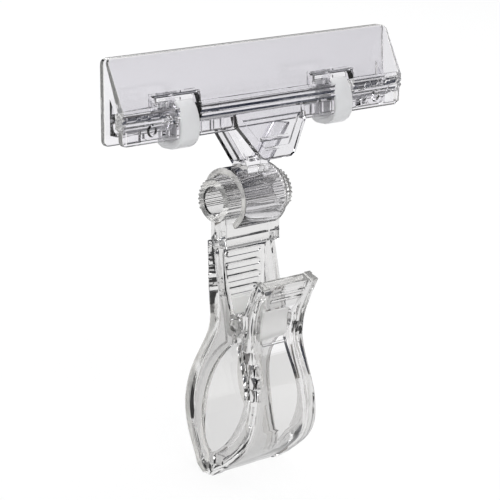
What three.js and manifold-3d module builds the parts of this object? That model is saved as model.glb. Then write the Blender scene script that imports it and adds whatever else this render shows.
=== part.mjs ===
// Price tag holder in clear plastic: a spring clip that grips a shelf edge, a ribbed hinge barrel on top
// of it, and a wide sign clip that tilts on the barrel and holds a card.
// Millimetres, +Z up, +X along the sign, -Y towards the reader of the card. The origin is the middle of
// the lower clip's mouth, at the tip of its closed lips.
import * as THREE from 'three';
import { mergeVertices } from 'three/addons/utils/BufferGeometryUtils.js';
import Module from 'manifold-3d';

const wasm = await Module();
wasm.setup();

// Fits
const runningGap = 0.3;
const curveSteps = 9;
const roundSides = 24;
const weldDistance = 1e-5;
const far = 60;

// Lower clip, seen from the front: an hourglass, as half-widths
const lipHalfWidth = 10.4;
const waistHalfWidth = 7.5;
const topHalfWidth = 8.2;
const waistHeight = 31;
const shoulderHeight = 44;

// Lower clip, seen from the side. Depths are measured from the mouth's closing line
const fulcrumHeight = 34.2;
const fulcrumDepth = -5.6;
const jawTopHeight = 51.6;
const backWaistDepth = 2.4;
const backBulgeDepth = 9.3;
const backBulgeHeight = 16;
const frontWaistDepth = -11.4;
const frontWaistHeight = 32;
const frontBulgeDepth = -14.1;
const frontBulgeHeight = 17;
const leverTopDepth = -15.3;
const leverTopHeight = 43.5;
const leverLean = 27;
const leverEndThickness = 3.1;
const leverEndLength = 1.8;
const leverEndProud = 0.2;
const baseWeb = 1.8;
const leverWeb = 2;
const baseFlange = 1.4;
const leverFlange = 1.9;

// The loop between the lower jaws, and the lips under it
const loopBackDepth = 3.2;
const loopBackHeight = 14;
const loopFrontDepth = -9.8;
const loopFrontHeight = 18;
const crotchDrop = 4.2;
const crotchGap = 1.2;
const throatHeight = 5;
const throatGap = 1;
const lipHeight = 0.9;
const lipThickness = 1.9;
const lipTipDepth = 1.6;
const lipHeelHeight = 1.5;
const backLipHeelDepth = 3.7;
const frontLipHeelDepth = -4;

// Which way the lower jaws' curves run at their ends, in degrees off straight down
const backHeelLean = -22;
const backCrotchLean = 58;
const backThroatLean = -60;
const frontHeelLean = 54;
const frontCrotchLean = -14;
const frontThroatLean = 75;

// Lower hinge: stub pins on the moving jaw, in the fixed jaw's round ears
const earRadius = 2.4;
const earProud = 0.2;
const pinRadius = 1.1;
const armThickness = 1.2;
const pinShortfall = 0.3;

// Fixed jaw's upper channel
const channelTopDepth = -1.1;
const shelfThickness = 1.6;
const gripRibCount = 4;
const gripRibRadius = 0.8;
const gripRibHalfLength = 5;
const gripRibDrop = 3.2;

// Moving jaw's finger pad
const padRibCount = 2;
const padRibPitch = 2.3;
const padRibRadius = 0.6;
const padRibHalfLength = 4.6;
const padRibDrop = 3;

// Bow spring between the lower jaws
const bowThickness = 1.4;
const bowHalfWidth = 4.2;
const bowLegRise = 4.6;
const bowSinkBelowFulcrum = 0.9;

// Hinge barrel on its stem block
const barrelRadius = 4.85;
const barrelHalfLength = 9.3;
const boreRadius = 3.1;
const toothDepth = 0.35;
const toothFoot = 0.8;
const toothTip = 0.3;
const toothCount = 30;
const plainTeeth = 10;
const stemRise = 9.2;
const stemHalfDepth = 2.4;
const stemHalfWidth = 7.9;
const barrelDepth = -1;

// Sign clip's socket on the barrel
const socketWall = 1.6;
const socketHalfLength = 6.2;
const socketBackOpening = 105;

// Sign clip's plates. Heights here are above the barrel's axis, depths from it
const signWidth = 80;
const signTop = 33.6;
const rearPlateBottom = 15.7;
const rearPlateBack = -0.5;
const rearPlateThickness = 1.2;
const frontPlateTopThickness = 0.8;
const frontPlateBottomThickness = 1.4;
const barTop = 23;
const barBottom = 16.3;
const barFront = -7.8;
const barBack = -5;
const plateCorner = 1.3;

// Sign clip's fulcrum: a bead on the front jaw in a groove on the rear jaw
const beadDepth = -4.5;
const beadHeight = 20;
const beadRadius = 1.5;
const grooveLip = 0.6;
const grooveHalfHeight = 2.2;
const endMargin = 1.5;
const gussetThickness = 1.2;
const gussetRise = 3.5;

// Sign clip's stem: a funnel of two slanted walls on a web
const funnelTop = 15.4;
const funnelTopHalfWidth = 9;
const funnelNeck = 8.4;
const funnelNeckHalfWidth = 3;
const funnelWall = 1.4;
const funnelFront = -4;
const funnelBack = 1;
const funnelWebInset = 0.3;

// Sign clip's thumb lever
const thumbHalfWidth = 9.9;
const thumbKnee = 17;
const thumbTip = 9.6;
const thumbTipHalfWidth = 4.6;
const thumbTipDepth = -10;
const thumbThickness = 1.4;
const thumbCorner = 1;
const thumbRibCount = 2;
const thumbRibPitch = 2.1;
const thumbRibRadius = 0.45;
const thumbRibHalfLength = 3.3;
const thumbRibRise = 2;

// Ribbed strip of the hinge bar on each side of the thumb lever
const stripTop = 19.6;
const stripSill = 0.7;
const stripDepth = 1.2;
const stripRib = 0.7;
const stripPockets = 3;

// Ring springs of the sign clip
const ringSpacing = 44.4;
const ringWidth = 4.2;
const ringThickness = 1.5;
const ringFront = -7.85;
const ringFoot = 13.6;
const ringFrontCorner = 4.2;
const ringBackCorner = 3;
const ringFrontTop = 24.1;
const ringBackTop = 23;
const ringTopDepth = -6.1;
const ringLean = -22;

// Windows in the sloping plate over each ring and over the pad beside it
const windowTop = 25.4;
const windowPadReach = 8.9;
const windowWall = 0.7;
const windowWallReach = 4.6;
const padTop = 24.2;
const padFront = -6.8;
const padInset = 0.4;

// Finishes
const clearPlastic = new THREE.MeshStandardMaterial({
  color: 0xe4e6ea, roughness: 0.06, metalness: 0, transparent: true, opacity: 0.35,
});
const whiteNylon = new THREE.MeshStandardMaterial({ color: 0xebeeee, roughness: 0.45, metalness: 0 });

// A closed three.js geometry as a solid that can be joined and cut
function solid(geometry) {
  const bare = geometry.clone();
  bare.deleteAttribute('normal');
  bare.deleteAttribute('uv');
  const merged = mergeVertices(bare, weldDistance);
  return new wasm.Manifold(new wasm.Mesh({
    numProp: 3,
    vertProperties: new Float32Array(merged.attributes.position.array),
    triVerts: new Uint32Array(merged.index.array),
  }));
}

function meshOf(name, body, material) {
  const data = body.getMesh();
  const geometry = new THREE.BufferGeometry();
  geometry.setAttribute('position', new THREE.BufferAttribute(data.vertProperties, 3));
  geometry.setIndex(new THREE.BufferAttribute(data.triVerts, 1));
  geometry.computeVertexNormals();
  const mesh = new THREE.Mesh(geometry, material);
  mesh.name = name;
  return mesh;
}

function join(...bodies) {
  return bodies.reduce((whole, body) => whole.add(body));
}

function extrude(shape, depth, matrix) {
  const geometry = new THREE.ExtrudeGeometry(shape, { depth, bevelEnabled: false, curveSegments: curveSteps });
  return solid(geometry.applyMatrix4(matrix));
}

// A side view, drawn as depth and height, carried along X
function alongX(shape, fromX, toX) {
  const turn = new THREE.Matrix4().makeBasis(
    new THREE.Vector3(0, 1, 0), new THREE.Vector3(0, 0, 1), new THREE.Vector3(1, 0, 0),
  );
  turn.setPosition(fromX, 0, 0);
  return extrude(shape, toX - fromX, turn);
}

// A front view, drawn as X and height, carried along Y
function alongY(shape, fromY, toY) {
  const turn = new THREE.Matrix4().makeBasis(
    new THREE.Vector3(1, 0, 0), new THREE.Vector3(0, 0, 1), new THREE.Vector3(0, -1, 0),
  );
  turn.setPosition(0, toY, 0);
  return extrude(shape, toY - fromY, turn);
}

function block(fromX, toX, fromY, toY, fromZ, toZ) {
  const geometry = new THREE.BoxGeometry(toX - fromX, toY - fromY, toZ - fromZ);
  return solid(geometry.translate((fromX + toX) / 2, (fromY + toY) / 2, (fromZ + toZ) / 2));
}

function rod(depth, height, radius, fromX, toX) {
  const section = [];
  for (let i = 0; i < roundSides; i += 1) {
    const angle = ((i + 0.5) * 2 * Math.PI) / roundSides;
    section.push([depth + Math.cos(angle) * radius, height + Math.sin(angle) * radius]);
  }
  return alongX(polygon(section), fromX, toX);
}

function mirrored(body) {
  return join(body, body.mirror([1, 0, 0]));
}

function polygon(points) {
  return new THREE.Shape(points.map(([x, y]) => new THREE.Vector2(x, y)));
}

// A curve that goes on from a path's last point: it leaves and arrives leaning so many degrees off
// straight down, and each reach says how far it keeps that direction
function flow(path, end, startReach, startLean, endReach, endLean) {
  const start = path.currentPoint;
  const leave = THREE.MathUtils.degToRad(startLean);
  const arrive = THREE.MathUtils.degToRad(endLean);
  path.bezierCurveTo(
    start.x + Math.sin(leave) * startReach, start.y - Math.cos(leave) * startReach,
    end[0] - Math.sin(arrive) * endReach, end[1] + Math.cos(arrive) * endReach,
    end[0], end[1],
  );
}

// The area between two paths that both run from top to bottom
function between(outer, inner) {
  return new THREE.Shape([...outer.getPoints(curveSteps), ...inner.getPoints(curveSteps).reverse()]);
}

// A band of even thickness on one side of a path: positive thickness lies to the left of its run
function band(path, thickness) {
  const points = path.getPoints(curveSteps).filter((point, i, all) => i === 0 || !point.equals(all[i - 1]));
  const inner = points.map((point, i) => {
    const before = points[Math.max(i - 1, 0)];
    const after = points[Math.min(i + 1, points.length - 1)];
    const run = after.clone().sub(before).normalize();
    return new THREE.Vector2(point.x - run.y * thickness, point.y + run.x * thickness);
  });
  return new THREE.Shape([...points, ...inner.reverse()]);
}

// The lower clip's hourglass, drawn in by an inset
function hourglass(inset) {
  const side = new THREE.Path();
  const rise = shoulderHeight - waistHeight;
  side.moveTo(topHalfWidth - inset, jawTopHeight + stemRise);
  side.lineTo(topHalfWidth - inset, shoulderHeight);
  flow(side, [waistHalfWidth - inset, waistHeight], rise / 3, 0, rise / 3, 0);
  flow(side, [lipHalfWidth - inset, lipHeight], waistHeight / 3, 0, waistHeight / 3, 0);
  side.lineTo(lipHalfWidth - inset, -far);
  const right = side.getPoints(curveSteps);
  const left = right.map((point) => new THREE.Vector2(-point.x, point.y)).reverse();
  return alongY(new THREE.Shape([...right, ...left]), -far, far);
}

// One lower jaw: a curved web across the hourglass, a flange down each side, and a lip strip
function jaw(outer, inner, web, flange, lip) {
  const sideView = between(outer, inner);
  const flanges = alongX(sideView, -far, far).subtract(hourglass(flange));
  const across = alongX(band(outer, web), -far, far);
  const strip = alongX(sideView, -far, far).intersect(lip);
  return join(across, flanges, strip).intersect(hourglass(0));
}

// Side outlines of the fixed jaw
const crotchHeight = fulcrumHeight - crotchDrop;
const backCrotchDepth = fulcrumDepth + crotchGap / 2;
const frontCrotchDepth = fulcrumDepth - crotchGap / 2;
const seam = runningGap / 2;
const backFall = fulcrumHeight - backBulgeHeight;

const baseOuter = new THREE.Path();
baseOuter.moveTo(backWaistDepth, jawTopHeight);
baseOuter.lineTo(backWaistDepth, fulcrumHeight + earRadius / 2);
flow(baseOuter, [backBulgeDepth, backBulgeHeight], backFall / 3, 0, backFall / 2, 0);
flow(baseOuter, [backLipHeelDepth, lipHeelHeight], backBulgeHeight / 3, 0, throatHeight, backHeelLean);
baseOuter.lineTo(lipTipDepth, 0);

const baseInner = new THREE.Path();
baseInner.moveTo(channelTopDepth, jawTopHeight);
baseInner.lineTo(fulcrumDepth + earRadius / 2, fulcrumHeight + earRadius);
baseInner.lineTo(backCrotchDepth, crotchHeight);
flow(baseInner, [loopBackDepth, loopBackHeight], crotchDrop, backCrotchLean, backFall / 2, 0);
flow(baseInner, [throatGap / 2, throatHeight], throatHeight, 0, throatHeight / 2, backThroatLean);
baseInner.lineTo(throatGap / 2, lipHeight);
baseInner.lineTo(seam, lipHeight);
baseInner.lineTo(seam, 0);

const baseLip = block(-far, far, 0, throatGap / 2 + lipThickness, 0, throatHeight);
const hingeFace = waistHalfWidth - baseFlange - earProud;

// Barrel section: teeth over the top, plain where it runs into the stem
function barrelSection() {
  const points = [];
  const pitch = (2 * Math.PI) / toothCount;
  const foot = (pitch * toothFoot) / 2;
  const tip = (pitch * toothTip) / 2;
  const rootRadius = barrelRadius - toothDepth;
  for (let tooth = 0; tooth < toothCount; tooth += 1) {
    const middle = (tooth + 0.5) * pitch - Math.PI / 2;
    const plain = tooth < plainTeeth / 2 || tooth >= toothCount - plainTeeth / 2;
    const radii = plain ? [rootRadius, rootRadius] : [rootRadius, barrelRadius];
    points.push([middle - foot, radii[0]], [middle - tip, radii[1]]);
    points.push([middle + tip, radii[1]], [middle + foot, radii[0]]);
  }
  return polygon(points.map(([angle, radius]) => [
    barrelDepth + Math.cos(angle) * radius, jawTopHeight + stemRise + Math.sin(angle) * radius,
  ]));
}

const barrelHeight = jawTopHeight + stemRise;

function makeBaseJaw() {
  const walls = jaw(baseOuter, baseInner, -baseWeb, baseFlange, baseLip);
  const ears = mirrored(rod(fulcrumDepth, fulcrumHeight, earRadius, hingeFace, waistHalfWidth + earProud));
  const eyes = rod(fulcrumDepth, fulcrumHeight, pinRadius + runningGap, -far, far);
  const shelf = block(
    -topHalfWidth, topHalfWidth, channelTopDepth, backWaistDepth, jawTopHeight - shelfThickness, jawTopHeight,
  );
  const stem = block(
    -stemHalfWidth, stemHalfWidth, barrelDepth - stemHalfDepth, barrelDepth + stemHalfDepth,
    jawTopHeight - shelfThickness, barrelHeight,
  );
  const barrel = alongX(barrelSection(), -barrelHalfLength, barrelHalfLength);
  const bore = rod(barrelDepth, barrelHeight, boreRadius, -far, far);
  const webFace = backWaistDepth - baseWeb;
  const lowestRib = fulcrumHeight + bowLegRise + gripRibRadius + runningGap;
  const ribPitch = (jawTopHeight - gripRibDrop - lowestRib) / (gripRibCount - 1);
  const ribs = [];
  for (let i = 0; i < gripRibCount; i += 1) {
    const height = lowestRib + i * ribPitch;
    ribs.push(rod(webFace, height, gripRibRadius, -gripRibHalfLength, gripRibHalfLength));
  }
  return join(walls, ears, shelf, ...ribs).subtract(eyes).add(join(stem, barrel).subtract(bore));
}

// Side outlines of the moving jaw
const leverRise = leverTopHeight - frontWaistHeight;
const frontFall = frontWaistHeight - frontBulgeHeight;
const lean = THREE.MathUtils.degToRad(leverLean);
const leverEndBack = [
  leverTopDepth + Math.cos(lean) * leverEndThickness, leverTopHeight + Math.sin(lean) * leverEndThickness,
];

const leverOuter = new THREE.Path();
leverOuter.moveTo(leverTopDepth, leverTopHeight);
flow(leverOuter, [frontWaistDepth, frontWaistHeight], leverRise / 3, leverLean, leverRise / 3, 0);
flow(leverOuter, [frontBulgeDepth, frontBulgeHeight], frontFall / 3, 0, frontFall / 3, 0);
flow(
  leverOuter, [frontLipHeelDepth, lipHeelHeight], frontBulgeHeight / 2, 0, frontBulgeHeight / 2, frontHeelLean,
);
leverOuter.lineTo(-lipTipDepth, 0);

const leverInner = new THREE.Path();
leverInner.moveTo(...leverEndBack);
leverInner.lineTo(fulcrumDepth - earRadius, fulcrumHeight + earRadius);
leverInner.lineTo(frontCrotchDepth, crotchHeight);
flow(leverInner, [loopFrontDepth, loopFrontHeight], crotchDrop, frontCrotchLean, crotchDrop, 0);
flow(leverInner, [-throatGap / 2, throatHeight], throatHeight, 0, throatHeight, frontThroatLean);
leverInner.lineTo(-throatGap / 2, lipHeight);
leverInner.lineTo(-seam, lipHeight);
leverInner.lineTo(-seam, 0);

const leverLip = block(-far, far, -throatGap / 2 - lipThickness, 0, 0, throatHeight);

function makeLeverJaw() {
  const walls = jaw(leverOuter, leverInner, leverWeb, leverFlange, leverLip);
  const armFace = hingeFace - runningGap;
  const notch = mirrored(rod(fulcrumDepth, fulcrumHeight, earRadius + runningGap, armFace, far));
  const arm = join(
    rod(fulcrumDepth, fulcrumHeight, earRadius, armFace - armThickness, armFace),
    block(
      armFace - armThickness, armFace, frontWaistDepth + leverWeb / 2, fulcrumDepth,
      fulcrumHeight - earRadius, fulcrumHeight + earRadius,
    ),
  );
  const pin = rod(fulcrumDepth, fulcrumHeight, pinRadius, armFace - armThickness, waistHalfWidth - pinShortfall);
  const along = [Math.sin(lean), -Math.cos(lean)];
  const endFront = [leverTopDepth + along[1] * leverEndProud, leverTopHeight - along[0] * leverEndProud];
  const end = polygon([
    endFront,
    [endFront[0] + along[0] * leverEndLength, endFront[1] + along[1] * leverEndLength],
    [leverEndBack[0] + along[0] * leverEndLength, leverEndBack[1] + along[1] * leverEndLength],
    leverEndBack,
  ]);
  const bead = alongX(end, -topHalfWidth - leverEndProud, topHalfWidth + leverEndProud);
  const [upper] = leverOuter.curves;
  const ribs = [];
  for (let i = 0; i < padRibCount; i += 1) {
    const place = upper.getPointAt((padRibDrop + i * padRibPitch) / upper.getLength());
    ribs.push(rod(place.x, place.y, padRibRadius, -padRibHalfLength, padRibHalfLength));
  }
  return join(walls.subtract(notch), mirrored(join(arm, pin)), bead, ...ribs);
}

// Bow spring: down the fixed jaw's web, round under the hinge pins and up the lever's web
function makeBaseSpring() {
  const backFace = backWaistDepth - baseWeb - runningGap;
  const frontFace = frontWaistDepth + leverWeb + runningGap;
  const radius = (backFace - frontFace) / 2;
  const middle = (backFace + frontFace) / 2;
  const bend = fulcrumHeight - bowSinkBelowFulcrum;
  const path = new THREE.Path();
  path.moveTo(backFace, fulcrumHeight + bowLegRise);
  path.lineTo(backFace, bend);
  path.absarc(middle, bend, radius, 0, -Math.PI, true);
  path.lineTo(frontFace, fulcrumHeight);
  path.lineTo(frontFace - Math.tan(lean) * bowLegRise / 3, fulcrumHeight + bowLegRise);
  return alongX(band(path, -bowThickness), -bowHalfWidth, bowHalfWidth);
}

// A ring's back leg lies along the rear plate's back, let in by the running gap
const ringBack = rearPlateBack + ringThickness;

// Ring spring's outline, grown on all sides by a clearance
function ringOutline(grow) {
  const front = ringFront - grow;
  const back = ringBack + grow;
  const foot = ringFoot - grow;
  const frontCorner = ringFrontCorner + grow;
  const backCorner = ringBackCorner + grow;
  const reach = (ringFrontTop - foot - frontCorner) / 3;
  const path = new THREE.Path();
  path.moveTo(ringTopDepth - grow, ringFrontTop + grow);
  flow(path, [front, foot + frontCorner], reach, ringLean, reach, 0);
  path.absarc(front + frontCorner, foot + frontCorner, frontCorner, Math.PI, 1.5 * Math.PI, false);
  path.absarc(back - backCorner, foot + backCorner, backCorner, 1.5 * Math.PI, 2 * Math.PI, false);
  path.lineTo(back, ringBackTop + grow);
  return band(path, ringThickness + 2 * grow);
}

function ring(centreX, grow) {
  return alongX(ringOutline(grow), centreX - ringWidth / 2 - grow, centreX + ringWidth / 2 + grow);
}

const ringCentres = [-ringSpacing / 2, ringSpacing / 2];

function ringPockets() {
  return join(...ringCentres.map((centreX) => ring(centreX, runningGap)));
}

// Stretches along X that the rings leave free for the bead and its groove
function freeStretches() {
  const half = ringWidth / 2 + 2 * runningGap;
  const [left, right] = ringCentres;
  return [
    [-signWidth / 2 + endMargin, left - half],
    [left + half, right - half],
    [right + half, signWidth / 2 - endMargin],
  ];
}

function roundedPlate(halfWidth, bottom, top, corner) {
  const shape = new THREE.Shape();
  shape.moveTo(-halfWidth + corner, bottom);
  shape.lineTo(halfWidth - corner, bottom);
  shape.absarc(halfWidth - corner, bottom + corner, corner, -Math.PI / 2, 0, false);
  shape.lineTo(halfWidth, top - corner);
  shape.absarc(halfWidth - corner, top - corner, corner, 0, Math.PI / 2, false);
  shape.lineTo(-halfWidth + corner, top);
  shape.absarc(-halfWidth + corner, top - corner, corner, Math.PI / 2, Math.PI, false);
  shape.lineTo(-halfWidth, bottom + corner);
  shape.absarc(-halfWidth + corner, bottom + corner, corner, Math.PI, 1.5 * Math.PI, false);
  return shape;
}

const rearPlateFront = rearPlateBack - rearPlateThickness;
const socketInner = barrelRadius + runningGap;
const socketOuter = socketInner + socketWall;

// The sign clip's socket: open at the bottom for the stem and at the back for the tilt
function makeSocket() {
  const whole = rod(0, 0, socketOuter, -socketHalfLength, socketHalfLength);
  const frontLip = -stemHalfDepth - runningGap;
  const backEdge = THREE.MathUtils.degToRad(socketBackOpening - 90);
  const opening = polygon([
    [0, 0], [frontLip, 0], [frontLip, -far], [far, -far], [far * Math.cos(backEdge), far * Math.sin(backEdge)],
  ]);
  return whole.subtract(alongX(opening, -far, far));
}

function makeFunnel() {
  const slant = Math.atan2(funnelTopHalfWidth - funnelNeckHalfWidth, funnelTop - funnelNeck);
  const inset = funnelWall / Math.cos(slant);
  const outline = polygon([
    [-funnelTopHalfWidth, funnelTop], [-funnelNeckHalfWidth, funnelNeck], [-funnelNeckHalfWidth, 0],
    [funnelNeckHalfWidth, 0], [funnelNeckHalfWidth, funnelNeck], [funnelTopHalfWidth, funnelTop],
  ]);
  const valley = funnelNeck + (inset - funnelNeckHalfWidth) / Math.tan(slant) + funnelNeckHalfWidth / 2;
  const hollow = polygon([
    [-funnelTopHalfWidth + inset, funnelTop], [-funnelNeckHalfWidth + inset, valley],
    [funnelNeckHalfWidth - inset, valley], [funnelTopHalfWidth - inset, funnelTop],
  ]);
  const walls = alongY(outline, funnelFront, funnelBack);
  const web = alongY(hollow, rearPlateFront, rearPlateBack - funnelWebInset);
  const neck = alongY(outline, rearPlateFront, rearPlateBack - funnelWebInset);
  const bridge = block(
    -funnelTopHalfWidth, funnelTopHalfWidth, rearPlateFront, rearPlateBack - funnelWebInset,
    funnelTop - funnelWall, rearPlateBottom + funnelWall,
  );
  return join(walls.subtract(alongY(hollow, -far, far)), web, neck, bridge);
}

function makeSignRearJaw() {
  const plate = alongY(
    roundedPlate(signWidth / 2, rearPlateBottom, signTop, plateCorner), rearPlateFront, rearPlateBack,
  );
  const grooveFront = beadDepth + grooveLip;
  const rails = freeStretches().map(([fromX, toX]) => block(
    fromX, toX, grooveFront, rearPlateFront + rearPlateThickness / 2,
    beadHeight - grooveHalfHeight, beadHeight + grooveHalfHeight,
  ));
  const groove = rod(beadDepth, beadHeight, beadRadius + runningGap, -far, far);
  const gussetX = signWidth / 2 - endMargin;
  const gusset = alongX(polygon([
    [rearPlateFront, beadHeight + grooveHalfHeight + gussetRise], [rearPlateFront, beadHeight],
    [grooveFront, beadHeight + grooveHalfHeight - grooveLip],
  ]), gussetX - gussetThickness, gussetX);
  const upper = join(plate, ...rails, mirrored(gusset)).subtract(groove).subtract(ringPockets());
  const barrelSpace = rod(0, 0, socketInner, -far, far);
  const lower = join(makeSocket(), makeFunnel()).subtract(barrelSpace);
  return join(upper, lower);
}

// The sloping front plate with the hinge bar along its foot, seen from the side
function frontOutline() {
  const topInner = rearPlateFront - runningGap;
  return polygon([
    [topInner, signTop], [topInner - frontPlateTopThickness, signTop], [barFront, barTop],
    [barFront, barBottom], [barBack, barBottom], [barBack, barTop],
    [barFront + frontPlateBottomThickness, barTop],
  ]);
}

function makeThumbLever() {
  const depthPerRise = (barFront - thumbTipDepth) / (thumbKnee - thumbTip);
  const top = barBottom + thumbCorner;
  const depthAt = (height) => barFront + (height - thumbKnee) * depthPerRise;
  const slab = polygon([
    [barFront, stripTop], [depthAt(top), top], [depthAt(thumbTip), thumbTip],
    [depthAt(thumbTip) + thumbThickness, thumbTip], [depthAt(top) + thumbThickness, top],
    [barFront + thumbThickness, stripTop],
  ]);
  const outline = new THREE.Shape();
  outline.moveTo(-thumbHalfWidth, stripTop);
  outline.lineTo(-thumbHalfWidth, thumbKnee);
  outline.lineTo(-thumbTipHalfWidth - thumbCorner / 2, thumbTip + thumbCorner);
  outline.quadraticCurveTo(-thumbTipHalfWidth, thumbTip, -thumbTipHalfWidth + thumbCorner, thumbTip);
  outline.lineTo(thumbTipHalfWidth - thumbCorner, thumbTip);
  outline.quadraticCurveTo(thumbTipHalfWidth, thumbTip, thumbTipHalfWidth + thumbCorner / 2, thumbTip + thumbCorner);
  outline.lineTo(thumbHalfWidth, thumbKnee);
  outline.lineTo(thumbHalfWidth, stripTop);
  const body = alongX(slab, -far, far).intersect(alongY(outline, -far, far));
  const ribs = [];
  for (let i = 0; i < thumbRibCount; i += 1) {
    const height = thumbTip + thumbRibRise + i * thumbRibPitch;
    ribs.push(rod(depthAt(height), height, thumbRibRadius, -thumbRibHalfLength, thumbRibHalfLength));
  }
  return join(body, ...ribs);
}

// Pockets in the bar's lower strip, between the rings and the thumb lever
function stripHollows() {
  const start = thumbHalfWidth + stripRib;
  const end = ringSpacing / 2 - windowWallReach - 2 * windowWall;
  const pitch = (end - start) / stripPockets;
  const pockets = [];
  for (let i = 0; i < stripPockets; i += 1) {
    const fromX = start + i * pitch;
    pockets.push(block(
      fromX, fromX + pitch - stripRib, barFront - stripDepth, barFront + stripDepth,
      barBottom + stripSill, stripTop - stripSill,
    ));
  }
  return mirrored(join(...pockets));
}

function makeSignFrontJaw() {
  const outline = alongY(roundedPlate(signWidth / 2, barBottom, signTop, plateCorner), -far, far);
  const panel = alongX(frontOutline(), -signWidth / 2, signWidth / 2).intersect(outline);
  const beads = freeStretches().map(([fromX, toX]) => rod(
    beadDepth, beadHeight, beadRadius, fromX + runningGap, toX - runningGap,
  ));
  const windows = ringCentres.map((centreX) => join(
    block(centreX - windowPadReach, centreX - windowWallReach, -far, barBack, barTop, windowTop),
    block(
      centreX - windowWallReach + windowWall, centreX + ringWidth / 2 + runningGap,
      -far, barBack, barTop, windowTop,
    ),
  ));
  const pads = ringCentres.map((centreX) => block(
    centreX - windowPadReach + padInset, centreX - windowWallReach - padInset,
    padFront, barBack - padInset, barTop - padInset, padTop,
  ));
  const bar = join(panel, ...beads).subtract(join(stripHollows(), ...windows));
  return join(bar, ...pads, makeThumbLever()).subtract(ringPockets());
}

// Assembly: the sign clip's pieces hang in a group on the barrel's axis
const sign = new THREE.Group();
sign.position.set(0, barrelDepth, barrelHeight);
sign.add(
  meshOf('sign_rear_jaw', makeSignRearJaw(), clearPlastic),
  meshOf('sign_front_jaw', makeSignFrontJaw(), clearPlastic),
  meshOf('sign_spring_left', ring(ringCentres[0], 0), whiteNylon),
  meshOf('sign_spring_right', ring(ringCentres[1], 0), whiteNylon),
);

const holder = new THREE.Group();
holder.add(
  meshOf('base_jaw', makeBaseJaw(), clearPlastic),
  meshOf('lever_jaw', makeLeverJaw(), clearPlastic),
  meshOf('base_spring', makeBaseSpring(), whiteNylon),
  sign,
);

export default holder;
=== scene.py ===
# %% [markdown]
# # A clear plastic price tag holder
# The holder is a snap-together moulding: a sprung clip at the bottom, a ribbed barrel above it, and a wide
# sign clip that tilts on the barrel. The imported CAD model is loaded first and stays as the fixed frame.
# The steps below make each moulded piece in millimetres with bmesh and lay it over its CAD node.

# %% Load the frame
import math

import bmesh
import bpy
from mathutils import Matrix, Vector
from mathutils.geometry import interpolate_bezier


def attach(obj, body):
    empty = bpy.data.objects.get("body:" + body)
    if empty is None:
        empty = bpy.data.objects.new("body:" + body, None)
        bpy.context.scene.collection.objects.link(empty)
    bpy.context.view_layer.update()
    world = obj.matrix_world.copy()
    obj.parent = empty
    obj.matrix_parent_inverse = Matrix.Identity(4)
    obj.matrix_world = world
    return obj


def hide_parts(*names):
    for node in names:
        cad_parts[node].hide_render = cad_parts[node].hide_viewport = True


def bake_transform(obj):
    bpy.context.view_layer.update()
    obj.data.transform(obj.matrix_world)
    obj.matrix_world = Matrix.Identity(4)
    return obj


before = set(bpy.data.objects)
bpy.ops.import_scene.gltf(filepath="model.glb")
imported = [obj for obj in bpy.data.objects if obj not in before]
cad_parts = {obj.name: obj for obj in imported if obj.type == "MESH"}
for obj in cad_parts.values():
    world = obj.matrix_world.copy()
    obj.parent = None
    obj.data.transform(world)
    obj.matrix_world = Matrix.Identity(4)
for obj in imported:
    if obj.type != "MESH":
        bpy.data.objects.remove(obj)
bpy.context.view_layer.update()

# %% [markdown]
# ## Camera
# A long lens from the front left and a little above keeps the sign's edges nearly parallel. A camera can be
# aimed with a constraint, but here the angles and the focal length were worked out from the picture's own
# edges, so it is set by a matrix: its columns are the directions right, up and backwards.

# %% Camera
turn, rise = math.radians(42.9), math.radians(13.3)
focal_pixels, picture_pixels = 2143, 500
sensor = 36
lens_spot = (-0.3059, -0.3316, 0.1552)
right = Vector((math.cos(turn), -math.sin(turn), 0))
look = Vector((math.sin(turn) * math.cos(rise), math.cos(turn) * math.cos(rise), -math.sin(rise)))
up = right.cross(look)
lens_data = bpy.data.cameras.new("camera")
lens_data.sensor_width = sensor
lens_data.lens = focal_pixels / picture_pixels * sensor
lens_data.clip_start = 0.01
camera = bpy.data.objects.new("camera", lens_data)
place = Matrix((right, up, -look)).transposed().to_4x4()
place.translation = lens_spot
camera.matrix_world = place
bpy.context.scene.collection.objects.link(camera)
bpy.context.scene.camera = camera
print("camera looks along", [round(v, 3) for v in look])

# %% [markdown]
# ## What the finishes share
# A moulded surface is never quite even: its gloss drifts, and its skin waves a little. Both could be
# painted on an unwrapped mesh. Noise on Object coordinates needs no unwrapping and fits every piece, so
# each finish starts from a Principled shader and takes its unevenness from one noise.

# %% What the finishes share
noise_detail = 3
skin_height = 0.0002


def new_finish(name):
    """A finish with its nodes, its links and its Principled shader."""
    finish = bpy.data.materials.new(name)
    finish.use_nodes = True
    tree = finish.node_tree
    return finish, tree.nodes, tree.links, tree.nodes["Principled BSDF"]


def drift(nodes, links, shader, scale, low, high):
    """Lets the roughness drift between two values, and gives back the noise that it follows."""
    where = nodes.new("ShaderNodeTexCoord")
    noise = nodes.new("ShaderNodeTexNoise")
    noise.inputs["Scale"].default_value = scale
    noise.inputs["Detail"].default_value = noise_detail
    spread = nodes.new("ShaderNodeMapRange")
    spread.inputs["To Min"].default_value = low
    spread.inputs["To Max"].default_value = high
    links.new(where.outputs["Object"], noise.inputs["Vector"])
    links.new(noise.outputs["Fac"], spread.inputs["Value"])
    links.new(spread.outputs["Result"], shader.inputs["Roughness"])
    return noise


def skin(nodes, links, shader, noise, strength):
    """A bump that follows a noise, for a moulded skin."""
    bump = nodes.new("ShaderNodeBump")
    bump.inputs["Strength"].default_value = strength
    bump.inputs["Distance"].default_value = skin_height
    links.new(noise.outputs["Fac"], bump.inputs["Height"])
    links.new(bump.outputs["Normal"], shader.inputs["Normal"])


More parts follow.
